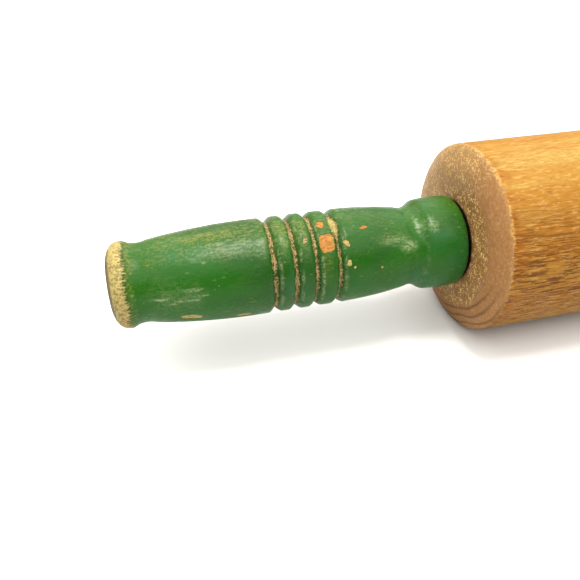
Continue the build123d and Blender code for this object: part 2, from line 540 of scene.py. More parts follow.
@dataclass(frozen=True)
class OiledBeech:
    """Oiled, flour-worn beech of the barrel, with rough sawn end grain. Lengths are metres."""

    rim_x: float
    radius: float
    collar_radius: float
    side_pale: Colour = (0.330, 0.208, 0.040)
    side_gold: Colour = (0.312, 0.148, 0.017)
    side_brown: Colour = (0.235, 0.084, 0.008)
    fleck: Colour = (0.068, 0.016, 0.003)
    # Pale colour for raised rim fibres, and for the painted highlights: sheen streaks and glints on the side
    rim_orange: Colour = (0.22, 0.060, 0.004)
    fuzz_and_highlight: Colour = (0.52, 0.33, 0.10)
    end_dark: Colour = (0.190, 0.094, 0.026)
    end_gold: Colour = (0.68, 0.44, 0.140)
    end_turned: Colour = (0.36, 0.215, 0.080)
    ring_line: Colour = (0.085, 0.036, 0.012)
    end_smooth: Colour = (0.265, 0.138, 0.058)
    # Near-black used for the painted shade on the end face round the collar
    grime_and_shade: Colour = (0.012, 0.006, 0.003)
    roughness: float = 0.5
    gloss: float = 0.09
    fray: float = 1.5 * MM
    stained_width: float = 5.5 * MM

    def material(self, patterns: Patterns) -> bpy.types.Material:
        """Build the material.

        Args:
            patterns: The shared node groups.

        Returns:
            The finished material.
        """
        material, sheet, shader = start_material("oiled_beech")
        position = sheet.place()
        axes = sheet.axes(position)
        side, side_height = self.side_colour(sheet, patterns, position, axes)
        end, end_height = self.end_colour(sheet, patterns, position, axes)
        frayed = sheet.streaks(position, (700, 1500, 1500), 2.0, 0.6)
        edge = sheet.plus(sheet.size(axes[0]), sheet.times(frayed, self.fray))
        on_end = sheet.step(edge, self.rim_x + 0.45 * MM, self.rim_x + 0.8 * MM)
        colour = sheet.blend(on_end, side, end)
        colour = sheet.blend(self.rim_fibres_and_highlight(sheet, position, axes, edge), colour, self.fuzz_and_highlight)
        sheet.feed(shader.inputs["Base Color"], colour)
        height = sheet.add("ShaderNodeMix", data_type="FLOAT")
        for number, value in ((0, on_end), (2, side_height), (3, end_height)):
            sheet.feed(height.inputs[number], value)
        sheet.feed(shader.inputs["Normal"], sheet.bump(height.outputs[0], 0.6, 0.25 * MM))
        blotches = sheet.noise(position, 70.0, 3.0)
        rough = sheet.step(blotches, 0.3, 0.7, self.roughness - 0.08, self.roughness + 0.12)
        sheet.feed(shader.inputs["Roughness"], rough)
        shader.inputs["Specular IOR Level"].default_value = self.gloss
        return material

    def rim_fibres_and_highlight(self, sheet: NodeSheet, position: Any, axes: Axes, edge: Any) -> Socket:
        """How much the raised pale fibres along the rim show, most of all on top, where the extra is a
        painted highlight.
        """
        near = sheet.size(sheet.minus(edge, self.rim_x + 0.7 * MM))
        furry = sheet.step(near, 0.25 * MM, 0.75 * MM, 1.0, 0.0)
        tufts = sheet.step(sheet.noise(position, 1300.0, 2.0), 0.46, 0.60)
        # Painted highlight: the pale rim is made stronger toward the top, where the overhead light falls
        upper = sheet.step(axes[2], -14 * MM, 14 * MM, 0.12, 1.0)
        return sheet.times(sheet.times(sheet.times(furry, tufts), upper), 0.5)

    def side_colour(
        self, sheet: NodeSheet, patterns: Patterns, position: Any, axes: Axes
    ) -> tuple[Socket, Socket]:
        """Colour and height of the long grain.

        Args:
            sheet: The material's sheet.
            patterns: The shared node groups.
            position: Position on the piece.
            axes: Its x, y and z.

        Returns:
            The colour, and the height for the bump.
        """
        flecked_face = sheet.plus(
            sheet.times(axes[1], -0.96 / self.radius), sheet.times(axes[2], -0.26 / self.radius)
        )
        flecked_face = sheet.step(sheet.size(flecked_face), 0.30, 0.95)
        grain = sheet.group(patterns.grain, position, fleck_share=0.22, fleck_size=0.85)
        patches = sheet.streaks(position, (14, 70, 70), 3.0)
        flecks = self.side_flecks(sheet, position, grain, patches, flecked_face)

        colour = sheet.blend(sheet.step(grain["Streaks"], 0.34, 0.66), self.side_gold, self.side_pale)
        # The two flecked faces are also darkened; on the front face, tipped a little down, this partly
        # paints shade
        darker = sheet.plus(sheet.step(patches, 0.42, 0.72, 0.0, 0.45), sheet.times(flecked_face, 0.42))
        colour = sheet.blend(darker, colour, self.side_brown)
        rings = sheet.times(sheet.step(grain["Rings"], 0.5, 1.0), 0.22)
        colour = sheet.blend(rings, colour, self.side_brown)

        soak = sheet.streaks(position, (130, 260, 260), 3.0)
        near_rim = sheet.step(sheet.size(axes[0]), self.rim_x - self.stained_width, self.rim_x, 0.0, 0.55)
        reach = sheet.plus(near_rim, sheet.attribute("rim_stain"))
        stained = sheet.times(reach, sheet.step(soak, 0.32, 0.62), clamped=True)
        colour = sheet.blend(sheet.times(stained, 0.85), colour, self.rim_orange)

        mottle = sheet.streaks(position, (520, 1500, 1500), 3.0, 0.6)
        colour = sheet.blend(sheet.step(mottle, 0.42, 0.62, 0.0, 0.42), colour, self.side_brown)
        sheen = sheet.streaks(position, (260, 1700, 1700), 2.0, 0.6, shift=(2.0, 5.0, 8.0))
        colour = sheet.blend(sheet.step(sheen, 0.54, 0.64, 0.0, 0.30), colour, self.fuzz_and_highlight)
        pores = patterns.dots(sheet, position, spacing=0.75, stretch=5.0, share=0.34, size=0.34)
        colour = sheet.blend(sheet.times(pores, 0.38), colour, self.side_brown)
        colour = sheet.blend(sheet.times(flecks, 0.85), colour, self.fleck)
        glints = patterns.dots(sheet, position, spacing=0.8, stretch=2.4, share=0.22, size=0.28)
        colour = sheet.blend(sheet.times(glints, 0.28), colour, self.fuzz_and_highlight)
        return colour, sheet.minus(sheet.times(grain["Fibres"], 0.35), sheet.times(flecks, 0.5))

    def side_flecks(
        self, sheet: NodeSheet, position: Any, grain: Any, patches: Any, flecked_face: Any
    ) -> Socket:
        """Mask of the dark flecks: sparse ones in patches, and dense ones on the two flecked faces."""
        lines = sheet.streaks(position, (150, 2000, 2000), 2.0, 0.55, 0.6)
        short_lines = sheet.streaks(position, (330, 2000, 2000), 2.0, 0.6, shift=(4.0, 1.0, 2.0))
        threads = sheet.streaks(position, (95, 2300, 2300), 1.0, 0.5, 0.8, shift=(1.0, 6.0, 3.0))
        long_flecks = sheet.step(lines, 0.56, 0.61)
        long_flecks = sheet.larger(long_flecks, sheet.step(short_lines, 0.57, 0.63, 0.0, 0.8))
        long_flecks = sheet.larger(long_flecks, sheet.step(threads, 0.60, 0.64, 0.0, 0.9))
        sparse = sheet.times(grain["Flecks"], sheet.step(patches, 0.40, 0.60, 0.15, 0.8))
        dense = sheet.times(long_flecks, sheet.plus(sheet.times(flecked_face, 0.85), 0.10))
        return sheet.larger(sheet.times(sparse, 0.8), dense)

    def end_colour(
        self, sheet: NodeSheet, patterns: Patterns, position: Any, axes: Axes
    ) -> tuple[Socket, Socket]:
        """Colour and height of the end grain: sawn strokes in the middle, a smooth band on one side.

        Args:
            sheet: The material's sheet.
            patterns: The shared node groups.
            position: Position on the piece.
            axes: Its x, y and z.

        Returns:
            The colour, and the height for the bump.
        """
        clouds = sheet.noise(position, 260.0, 3.0)
        steep, shallow, upright = (
            self.saw_strokes(sheet, patterns, position, turn, spacing, share)
            for turn, spacing, share in ((1.05, 0.46, 0.80), (-0.95, 0.42, 0.74), (0.15, 0.56, 0.62))
        )
        strokes = sheet.larger(sheet.larger(steep, shallow), upright)
        shine = sheet.times(strokes, sheet.step(clouds, 0.34, 0.60, 0.30, 1.0))
        turned_part = sheet.step(sheet.plus(axes[1], axes[2]), 10 * MM, 27 * MM, 0.0, 0.38)
        shine = sheet.times(shine, sheet.minus(1.0, turned_part))
        ground = sheet.blend(sheet.step(clouds, 0.3, 0.7), self.end_dark, self.end_smooth)
        ground = sheet.blend(turned_part, ground, self.end_turned)
        colour = sheet.blend(shine, ground, self.end_gold)

        off_axis = sheet.length(sheet.stretch(position, (0, 1, 1)))
        wobble = sheet.times(sheet.noise(position, 130.0, 2.0), 5 * MM)
        outer = sheet.step(sheet.plus(off_axis, wobble), 22 * MM, 24 * MM)
        front = sheet.step(sheet.plus(axes[1], sheet.times(axes[2], 0.4)), 10 * MM, -4 * MM)
        band = sheet.times(outer, front)
        grain = sheet.group(patterns.grain, position, fleck_share=0.4, fleck_size=1.0)
        grey = sheet.noise(position, 1300.0, 2.0, 0.6)
        smooth = sheet.blend(sheet.step(grey, 0.38, 0.62, 0.0, 0.55), self.end_smooth, self.side_brown)
        ringed = sheet.times(sheet.step(grain["Rings"], 0.6, 0.98), sheet.step(axes[2], 4 * MM, -12 * MM))
        smooth = sheet.blend(sheet.times(ringed, 0.75), smooth, self.ring_line)
        colour = sheet.blend(sheet.times(band, 0.88), colour, smooth)
        # Painted shade: the end face round the collar is darkened where the gap to the handle shades it
        gap_shade = sheet.step(off_axis, self.collar_radius - 1.4 * MM, self.collar_radius - 0.5 * MM, 1.0, 0.0)
        colour = sheet.blend(gap_shade, colour, self.grime_and_shade)
        return colour, sheet.times(shine, sheet.minus(1.0, sheet.times(band, 0.8)))

    def saw_strokes(
        self, sheet: NodeSheet, patterns: Patterns, position: Any, turn: float, spacing: float, share: float
    ) -> Socket:
        """Short saw strokes across the end face, all leaning one way.

        Args:
            sheet: The material's sheet.
            patterns: The shared node groups.
            position: Position on the piece.
            turn: How the strokes lean, in radians from upright.
            spacing: Distance between neighbouring strokes, in millimetres.
            share: How many of the possible strokes show.

        Returns:
            The strokes' mask.
        """
        x, y, z = sheet.axes(sheet.stretch(position, (1, 1, 1), turn=(turn, 0.0, 0.0)))
        return patterns.dots(sheet, sheet.vector(z, y, x), spacing, stretch=3.4, share=share, size=0.40)


@dataclass(frozen=True)
class WornGreenPaint:
    """Old green paint over turned wood: rubbed thin on top, partly as painted light on the upper side,
    chipped and bare where use wears it, with painted highlights as pale marks and painted shade on the
    collar's end face.
    """

    green: Colour = (0.009, 0.075, 0.0035)
    deep_green: Colour = (0.008, 0.052, 0.0045)
    blue_green: Colour = (0.012, 0.085, 0.020)
    rubbed: Colour = (0.110, 0.128, 0.018)
    speck: Colour = (0.185, 0.195, 0.055)
    # Pale colour for scrapes and for painted highlights
    scuffed: Colour = (0.165, 0.218, 0.094)
    tan_wood: Colour = (0.27, 0.195, 0.080)
    yellow_wood: Colour = (0.38, 0.300, 0.095)
    orange_wood: Colour = (0.36, 0.148, 0.020)
    orange_pores: Colour = (0.15, 0.042, 0.006)
    stain: Colour = (0.046, 0.038, 0.011)
    # Dark colour for grimy paint edges, and for the painted shade on the collar's end face
    grime_and_shade: Colour = (0.022, 0.014, 0.006)
    roughness: float = 0.30
    gloss: float = 0.15
    raggedness: float = 1.5
    bare_from: float = 0.46
    bare_to: float = 0.55

    def material(self, patterns: Patterns) -> bpy.types.Material:
        """Build the material.

        Args:
            patterns: The shared node groups.

        Returns:
            The finished material.
        """
        material, sheet, shader = start_material("worn_green_paint")
        position = sheet.place()
        loss, tone, rub, scuff_and_highlight, dirt_and_shade = (
            sheet.attribute(name) for name in ("paint_loss", "wood_tone", "rub", "scuff_and_highlight", "dirt_and_shade")
        )
        streaky = sheet.streaks(position, (430, 1700, 1700), 3.0, 0.65)
        grit = sheet.noise(position, 1500.0, 2.0, 0.6)
        ragged = sheet.plus(sheet.times(streaky, 0.55), sheet.times(grit, 0.45))
        field = sheet.plus(loss, sheet.times(sheet.minus(ragged, 0.5), self.raggedness))
        bare = sheet.step(field, self.bare_from, self.bare_to)
        specks = patterns.dots(sheet, position, spacing=0.9, stretch=2.6, share=0.22, size=0.26)
        flakes = patterns.dots(sheet, position, spacing=2.2, stretch=1.4, share=0.05, size=0.16)
        scratches = sheet.group(patterns.scratches, position, length=9.0, gap=1.1, share=0.55)["Mask"]
        worn_zone = sheet.plus(sheet.times(rub, 1.2), 0.26, clamped=True)
        small = sheet.larger(sheet.times(specks, worn_zone), sheet.times(flakes, 0.6))
        lines = sheet.times(scratches, 0.4)

        paint = self.paint_colour(sheet, position, rub, ragged)
        paint = sheet.blend(sheet.larger(sheet.times(small, 0.8), lines), paint, self.speck)
        # Pale marks: real scrapes, and painted highlights laid on in the same way
        scuff_and_highlight_mask = sheet.times(scuff_and_highlight, sheet.step(ragged, 0.42, 0.58, 0.15, 1.0))
        paint = sheet.blend(scuff_and_highlight_mask, paint, self.scuffed)
        outline = sheet.larger(sheet.step(field, 0.40, self.bare_from), sheet.step(loss, 0.30, 0.42))
        film = sheet.minus(1.0, bare)
        paint = sheet.blend(sheet.times(sheet.times(outline, film), 0.22), paint, self.grime_and_shade)
        wood = self.wood_colour(sheet, patterns, position, tone, grit)
        colour = sheet.blend(bare, paint, wood)
        # Painted shade on the collar's end face, and the darker outer corner, from the stored darkening
        sheet.feed(shader.inputs["Base Color"], sheet.blend(dirt_and_shade, colour, self.grime_and_shade))

        dull = sheet.noise(position, 140.0, 4.0, 0.6)
        sheen = sheet.step(dull, 0.3, 0.75, self.roughness - 0.06, self.roughness + 0.2)
        rough = sheet.plus(sheen, sheet.times(bare, 0.35), clamped=True)
        sheet.feed(shader.inputs["Roughness"], rough)
        orange_peel = sheet.streaks(position, (620, 1150, 1150), 3.0, 0.6)
        height = sheet.plus(film, sheet.times(orange_peel, 0.5))
        height = sheet.minus(height, sheet.times(small, 0.25))
        height = sheet.minus(height, sheet.times(lines, 0.3))
        sheet.feed(shader.inputs["Normal"], sheet.bump(height, 0.9, 0.16 * MM))
        shader.inputs["Specular IOR Level"].default_value = self.gloss
        return material

    def paint_colour(self, sheet: NodeSheet, position: Any, rub: Any, ragged: Any) -> Socket:
        """Green that shifts in depth and hue, and yellows where it is rubbed thin."""
        drift = sheet.noise(position, 38.0, 3.0)
        colour = sheet.blend(sheet.step(drift, 0.38, 0.62), self.green, self.deep_green)
        cool = sheet.streaks(position, (60, 60, 60), shift=(5.0, 2.0, 1.0))
        colour = sheet.blend(sheet.step(cool, 0.5, 0.7, 0.0, 0.8), colour, self.blue_green)
        thin = sheet.times(rub, sheet.step(ragged, 0.44, 0.60, 0.15, 1.25), clamped=True)
        return sheet.blend(thin, colour, self.rubbed)

    def wood_colour(
        self, sheet: NodeSheet, patterns: Patterns, position: Any, tone: Any, grit: Any
    ) -> Socket:
        """Bare wood from grimy tan through yellow to fresh orange, with grain in it."""
        colour = sheet.blend(sheet.step(tone, 0.0, 0.5), self.tan_wood, self.yellow_wood)
        colour = sheet.blend(sheet.step(tone, 0.5, 1.0), colour, self.orange_wood)
        grain = sheet.group(patterns.grain, position, fleck_share=0.5, fleck_size=1.5)
        lines = sheet.step(grain["Fibres"], 0.42, 0.62)
        colour = sheet.blend(sheet.times(lines, 0.4), colour, self.tan_wood)
        pores = sheet.streaks(position, (520, 1900, 1900), 2.0, 0.6)
        dirt_and_shade = sheet.step(sheet.plus(sheet.times(grit, 0.5), sheet.times(pores, 0.5)), 0.47, 0.56)
        dirt_and_shade = sheet.times(dirt_and_shade, sheet.step(tone, 0.16, 0.30, 0.95, 0.52))
        dark = sheet.blend(sheet.step(tone, 0.5, 0.9), self.stain, self.orange_pores)
        return sheet.blend(dirt_and_shade, colour, dark)


@dataclass(frozen=True)
class BarePlugWood:
    """Pale end-grain plug, handled and a little grimy."""

    pale: Colour = (0.60, 0.46, 0.22)
    brown: Colour = (0.26, 0.15, 0.06)

    def material(self, patterns: Patterns) -> bpy.types.Material:
        """Build the material."""
        material, sheet, shader = start_material("bare_plug_wood")
        position = sheet.place()
        pores = patterns.dots(sheet, position, spacing=0.5, stretch=6.0, share=0.4, size=0.35)
        grain = sheet.group(patterns.grain, position, fleck_share=0.5, fleck_size=1.5)
        colour = sheet.blend(sheet.times(grain["Rings"], 0.5), self.pale, self.brown)
        grime_and_shade = sheet.step(sheet.noise(position, 320.0, 3.0), 0.4, 0.7, 0.0, 0.5)
        colour = sheet.blend(sheet.larger(grime_and_shade, pores), colour, self.brown)
        sheet.feed(shader.inputs["Base Color"], colour)
        sheet.feed(shader.inputs["Normal"], sheet.bump(sheet.minus(1.0, pores), 0.5, 0.15 * MM))
        sheet.feed(shader.inputs["Roughness"], sheet.step(grain["Streaks"], 0.3, 0.7, 0.5, 0.7))
        return material


@dataclass(frozen=True)
class PlainMetal:
    """Drawn or plated metal with fine marks and dull patches."""

    name: str
    bright: Colour
    dull: Colour
    roughness: float

    def material(self, patterns: Patterns) -> bpy.types.Material:
        """Build the material."""
        material, sheet, shader = start_material(self.name)
        position = sheet.place()
        scratches = sheet.group(patterns.scratches, position, length=6.0, gap=0.5, share=0.4)["Mask"]
        clouds = sheet.step(sheet.noise(position, 260.0, 4.0), 0.35, 0.7)
        sheet.feed(shader.inputs["Base Color"], sheet.blend(clouds, self.bright, self.dull))
        sheet.feed(shader.inputs["Roughness"], sheet.plus(sheet.times(clouds, 0.2), self.roughness))
        sheet.feed(shader.inputs["Normal"], sheet.bump(scratches, 0.25, 0.02 * MM))
        shader.inputs["Metallic"].default_value = 1.0
        return material


# --------------------------------------------------------------------------- sub-assemblies


@dataclass(frozen=True)
class Wear:
    """One worn place on a handle, or a painted highlight laid on as a pale mark.

    along is its distance from the collar's end and angle its place round the handle, in degrees from
    the top toward the front. length runs along the rod and width round it. All sizes are millimetres.
    """

    along: float
    angle: float
    length: float
    width: float
    mark: Mark = Mark.CHIPPED
    wood: BareWood = BareWood.ORANGE
    strength: float = 1.0
    crisp: float = 0.9
    squareness: float = 2.0
    slant: float = 0.0

    def cover(self, along: float, round_place: float, radius: float) -> float:
        """How strongly this mark covers a place: half its strength at its edge.

        Args:
            along: Distance from the collar's end.
            round_place: Angle round the handle, in degrees.
            radius: The handle's radius there.

        Returns:
            A value from 0 to its strength.
        """
        across = (round_place - self.angle + 180) % 360 - 180
        if abs(across) > 45 or abs(along - self.along) > self.length + self.width:
            return 0.0
        sideways = math.radians(across) * radius
        lengthways = along - self.along + self.slant * sideways
        power = self.squareness
        parts = abs(2 * lengthways / self.length) ** power + abs(2 * sideways / self.width) ** power
        return self.strength * clamp(0.5 + self.crisp * (1 - parts ** (1 / power)))


LEFT_WEAR = (
    Wear(41.5, 39.0, 4.0, 5.2, crisp=2.1, squareness=4.5),
    Wear(42.1, 14.0, 2.3, 2.8, strength=0.85, crisp=1.0),
    Wear(47.6, 31.5, 2.2, 3.8, wood=BareWood.AMBER, strength=0.56),
    Wear(38.5, 13.0, 2.9, 10.0, wood=BareWood.YELLOW, strength=0.80),
    Wear(36.1, 42.5, 1.5, 2.4, wood=BareWood.AMBER, strength=0.80, crisp=1.4, slant=0.5),
    Wear(36.0, 65.5, 1.4, 2.1, wood=BareWood.YELLOW, strength=0.84, crisp=1.4),
    Wear(30.2, 25.0, 2.8, 1.3, strength=0.72, slant=-0.6),
    Wear(80.0, 115.5, 5.8, 2.2, wood=BareWood.YELLOW, crisp=1.2),
    Wear(65.6, 124.5, 4.8, 1.8, wood=BareWood.YELLOW, strength=0.9),
    Wear(26.5, 77.0, 0.8, 0.7, wood=BareWood.YELLOW),
    Wear(34.5, 71.5, 0.8, 0.8, wood=BareWood.YELLOW),
    # Painted highlights on the waist, in the cove and on the collar, laid on as pale marks
    Wear(17.6, 56.0, 4.6, 3.0, Mark.SCUFFED, strength=1.0),
    Wear(21.5, 47.0, 8.0, 2.4, Mark.SCUFFED, strength=0.5),
    Wear(22.5, 42.0, 9.0, 3.0, Mark.RUBBED, strength=0.35),
    Wear(13.9, 28.0, 1.6, 6.0, Mark.SCUFFED, strength=0.8),
    Wear(10.2, 34.5, 2.6, 4.5, Mark.SCUFFED, strength=0.7),
    # Fine slanting scratches and a scuffed patch low on the grip
    Wear(87.0, 81.0, 6.0, 0.8, Mark.SCUFFED, crisp=1.6, slant=1.6),
    Wear(85.0, 88.0, 4.0, 0.7, Mark.SCUFFED, strength=0.8, crisp=1.6, slant=1.2),
    Wear(80.4, 85.0, 7.0, 0.8, Mark.SCUFFED, crisp=1.6, slant=1.3),
    Wear(78.7, 72.0, 5.0, 0.8, Mark.SCUFFED, crisp=1.6, slant=0.6),
    Wear(77.0, 80.0, 4.5, 0.7, Mark.SCUFFED, strength=0.8, crisp=1.6, slant=-0.4),
    Wear(83.5, 78.0, 12.0, 8.0, Mark.SCUFFED, strength=0.24),
    Wear(73.5, 8.0, 13.0, 2.6, Mark.RUBBED, strength=0.55),
    Wear(73.0, 9.0, 6.0, 0.9, strength=0.46),
    # Painted highlight: the pale band along the upper front of the grip
    Wear(68.0, 30.0, 24.0, 5.0, Mark.SCUFFED, strength=0.42),
    Wear(60.0, 34.0, 3.0, 4.6, Mark.SCUFFED, strength=0.6),
    Wear(47.8, 22.0, 2.6, 12.0, Mark.RUBBED, strength=0.45),
    Wear(53.6, 22.0, 2.6, 12.0, Mark.RUBBED, strength=0.45),
    Wear(41.8, 62.0, 2.0, 10.0, Mark.RUBBED, strength=0.35),
)

RIGHT_WEAR = (
    Wear(52.8, 205.0, 3.2, 4.0, crisp=2.2, squareness=3.0),
    Wear(38.3, 150.0, 2.6, 9.0, wood=BareWood.YELLOW, strength=0.78),
    Wear(70.2, 48.0, 3.0, 1.8, wood=BareWood.YELLOW, slant=0.4),
    Wear(8.4, 250.0, 2.2, 3.4, Mark.SCUFFED, strength=0.8),
    Wear(76.5, 300.0, 6.0, 0.8, Mark.SCUFFED, crisp=1.6, slant=0.7),
    Wear(80.5, 30.0, 7.0, 0.8, Mark.SCUFFED, crisp=1.6, slant=-1.1),
    Wear(30.6, 12.0, 2.0, 1.6, strength=0.9),
    Wear(84.5, 110.0, 4.8, 1.9, wood=BareWood.YELLOW),
    Wear(66.0, 20.0, 24.0, 6.0, Mark.RUBBED, strength=0.4),
)


class Skin(NamedTuple):
    """State of one place on a handle's skin. Each value runs from 0 to 1 and is stored on the mesh."""

    paint_loss: float
    wood_tone: float
    rub: float
    scuff_and_highlight: float
    # Darkening: painted shade on the collar's end face, and a darker corner at the outer end
    dirt_and_shade: float


@dataclass
class Handle:
    """One turned and painted handle.

    Sizes are millimetres, and places along it are measured from the collar's end. Only start is in
    metres: it is the distance of that end from the middle of the pin.
    """

    end: End
    worn_places: tuple[Wear, ...]
    seed: float
    collar_end: Place = (0.0, COLLAR_RADIUS)
    collar_crown: Place = (5.55, 13.75)
    collar_lip: Place = (11.1, 13.40)
    cove_bottom: Place = (14.6, 11.60)
    cove_end: Place = (17.2, 12.05)
    waist: Place = (25.0, 13.08)
    shoulder: Place = (35.5, 13.70)
    grip_start: Place = (62.5, 13.72)
    taper: Place = (75.85, 13.15)
    neck_start_from_end: Place = (11.2, 11.65)
    neck_from_end: Place = (7.7, 11.15)
    bead_start_from_end: Place = (6.0, 11.50)
    bead_from_end: Place = (4.0, 12.20)
    bead_end_from_end: Place = (1.3, 11.10)
    end_trim: float = 0.35
    face_radius: float = 8.9
    grooves: tuple[float, ...] = (38.05, 44.55, 50.4, 56.25)
    groove_depth: float = 1.65
    groove_half_width: float = 2.0
    groove_power: float = 1.5
    dirty_half_width: float = 1.48
    lip_from_groove: float = 1.25
    crest_from_groove: float = 2.9
    crest_half_width: float = 2.2
    corner_softness: float = 0.55
    collar_edge: float = 0.9
    collar_inset: float = 0.1
    recess_chamfer: float = 0.25
    recess_play: float = 0.3
    rod_clearance: float = 0.08
    paint_thickness: float = 0.10
    unevenness: float = 0.05
    dent_depth: float = 0.10
    bare_from_end: float = 4.7
    bare_fade: float = 4.6
    cloud_rate: float = 0.16
    row_step: float = 0.36
    segments: int = 256
    start: float = field(init=False)
    length: float = field(init=False)
    recess_radius: float = field(init=False)
    recess_floor: float = field(init=False)
    bore_radius: float = field(init=False)

    def __post_init__(self) -> None:
        """Read the places that come from the CAD frame."""
        self.start, finish, _ = node_ends(f"{self.end.label}_handle", self.end)
        self.length = (finish - self.start) / MM
        _, _, plug_radius = node_ends(f"{self.end.label}_end_plug", self.end)
        washer_inner, _, _ = node_ends(f"{self.end.label}_end_washer", self.end)
        self.recess_radius = plug_radius / MM
        self.recess_floor = (washer_inner - self.start) / MM - self.recess_play
        self.bore_radius = node_ends("axle_rod", self.end)[2] / MM + self.rod_clearance

    def from_end(self, place: Place) -> Place:
        """Turn a place given from the handle's outer end into one from its collar."""
        return self.length - place[0], place[1]

    def sharp_radius(self, along: float) -> float:
        """Radius of the turned outline before its corners are eased and its grooves cut.

        Args:
            along: Distance from the collar's end.

        Returns:
            The radius there.
        """
        neck_start = self.from_end(self.neck_start_from_end)
        bead_start = self.from_end(self.bead_start_from_end)
        bead = self.from_end(self.bead_from_end)
        if along > bead[0]:
            share = min((along - bead[0]) / (self.length - self.end_trim - bead[0]), 1.0)
            return self.face_radius + (bead[1] - self.face_radius) * math.sqrt(1 - share * share)
        arcs = (
            (self.collar_end, self.collar_crown, self.collar_lip),
            (self.collar_lip, self.cove_bottom, self.cove_end),
            (self.cove_end, self.waist, self.shoulder),
            (self.grip_start, self.taper, neck_start),
            (neck_start, self.from_end(self.neck_from_end), bead_start),
            (bead_start, bead, self.from_end(self.bead_end_from_end)),
        )
        for first, middle, last in arcs:
            if first[0] <= along <= last[0]:
                return arc_radius(along, first, middle, last)
        first, last = self.shoulder, self.grip_start
        share = (along - first[0]) / (last[0] - first[0])
        return first[1] + share * (last[1] - first[1])

    def radius(self, along: float) -> float:
        """Radius of the finished outline, with soft corners and V grooves."""
        shares = (-1.0, -0.6, -0.2, 0.2, 0.6, 1.0)
        samples = [clamp(along + self.corner_softness * share, 0.0, self.length) for share in shares]
        body = sum(self.sharp_radius(at) for at in samples) / len(samples)
        nearest = min(abs(along - groove) for groove in self.grooves)
        share = max(1 - nearest / self.groove_half_width, 0.0)
        return body - self.groove_depth * share ** self.groove_power

    def outline(self) -> list[Place]:
        """Closed outline of the handle, from its bore round the outside and into the end recess."""
        edge, length, recess = self.collar_edge, self.length, self.recess_radius
        edge_radius = self.collar_end[1] - edge - self.collar_inset
        collar = [
            (edge * (1 - math.cos(turn)), edge_radius + edge * math.sin(turn))
            for turn in even_steps(0.0, math.pi / 2, math.pi / 12)
        ][:-1]
        skin = [(along, self.radius(along)) for along in even_steps(edge, length - 0.5, self.row_step)]
        inside = [
            (length - 0.15, self.face_radius - 0.15),
            (length, self.face_radius - 0.8),
            (length, recess + self.recess_chamfer),
            (length - self.recess_chamfer, recess),
            (self.recess_floor, recess),
            (self.recess_floor, self.bore_radius),
            (0.0, self.bore_radius),
        ]
        places = collar + skin + inside
        return [(self.end.value * (self.start + along * MM), radius * MM) for along, radius in places]

    def grime_and_shade(self, along: float) -> float:
        """How dark a place is made: painted shade on the collar's end face, in the gap against the barrel,
        and a darker corner at the outer end.
        """
        return max(ease(along, 0.35, 0.05), 0.75 * ease(along, self.length - 1.3, self.length - 0.6))

    def lip_highlight(self, along: float, angle: float, spot: Vector) -> float:
        """Painted highlight: pale lines on the near lips of the grooves and in the corner of the cove.

        Args:
            along: Distance from the collar's end.
            angle: Place round the handle, in degrees from the top toward the front.
            spot: Place for the noise that breaks the wear up.

        Returns:
            A value from 0 to 1.
        """
        lines = [(groove - self.lip_from_groove, 0.46, 0.92) for groove in self.grooves]
        lines.append((self.collar_lip[0] + 1.5, 0.9, 0.42))
        patchy = ease(noise.noise(spot * 2.6 + Vector((0, 9.0, 0))), -0.35, 0.25)
        # Painted highlight: strongest round 62 degrees from the top toward the front, the side turned to the
        # camera and light
        turned = ease(math.cos(math.radians(angle - 62)), 0.2, 0.85)
        line = max(strength * clamp(1.2 - abs(along - place) / width) for place, width, strength in lines)
        return line * patchy * turned

    def bare_wood(
        self, along: float, turn: float, spot: Vector, cloud: float, bare_edge: float
    ) -> tuple[float, float]:
        """Paint lost everywhere, round the outer end, in the grooves and on the beads between them.

        Args:
            along: Distance from the collar's end.
            turn: Place round the handle, in radians.
            spot: Place for the noise.
            cloud: Slow noise there.
            bare_edge: Where the paint ends near the outer end.

        Returns:
            The paint loss and the tone of the bare wood.
        """
        loss, tone = 0.08 + 0.14 * cloud, BareWood.TAN.value
        end_loss = clamp(0.46 + (along - bare_edge) / self.bare_fade, 0.0, 0.95)
        if end_loss > loss:
            # The bare end is paler yellow toward the top: partly the wood's own wear, partly painted light
            # from above
            brightest = ease(math.cos(turn - 0.3), 0.1, 0.9) * ease(noise.noise(spot * 4.0), -0.4, 0.3)
            loss, tone = end_loss, 0.27 + 0.28 * brightest
        for number, groove in enumerate(self.grooves):
            depth = 1 - abs(along - groove - 0.3) / self.dirty_half_width
            patchy = 0.84 + 0.5 * noise.noise(spot * 3.0 + Vector((number * 7.0, 0, 0)))
            if depth > 0 and depth * patchy > loss:
                loss, tone = clamp(depth * patchy), 0.16
        for groove in self.grooves[1:]:
            crest = clamp(1 - abs(along - groove + self.crest_from_groove) / self.crest_half_width)
            loss = max(loss, 0.30 * crest * (0.6 + cloud * 0.5))
        return loss, tone

    def wear(self, along: float, angle: float, radius: float) -> Skin:
        """How worn one place on the skin is.

        Args:
            along: Distance from the collar's end.
            angle: Place round the handle, in degrees from the top toward the front.
            radius: Radius there.

        Returns:
            The state of the skin.
        """
        turn, rate = math.radians(angle), self.cloud_rate
        spot = Vector(
            (along * rate, radius * math.cos(turn) * rate, radius * math.sin(turn) * rate + self.seed)
        )
        cloud = noise.noise(spot) * 0.5 + 0.5
        bare_edge = self.length - self.bare_from_end + 0.7 * noise.noise(spot * 2.1) - 0.4 * math.cos(turn)
        loss, tone = self.bare_wood(along, turn, spot, cloud, bare_edge)
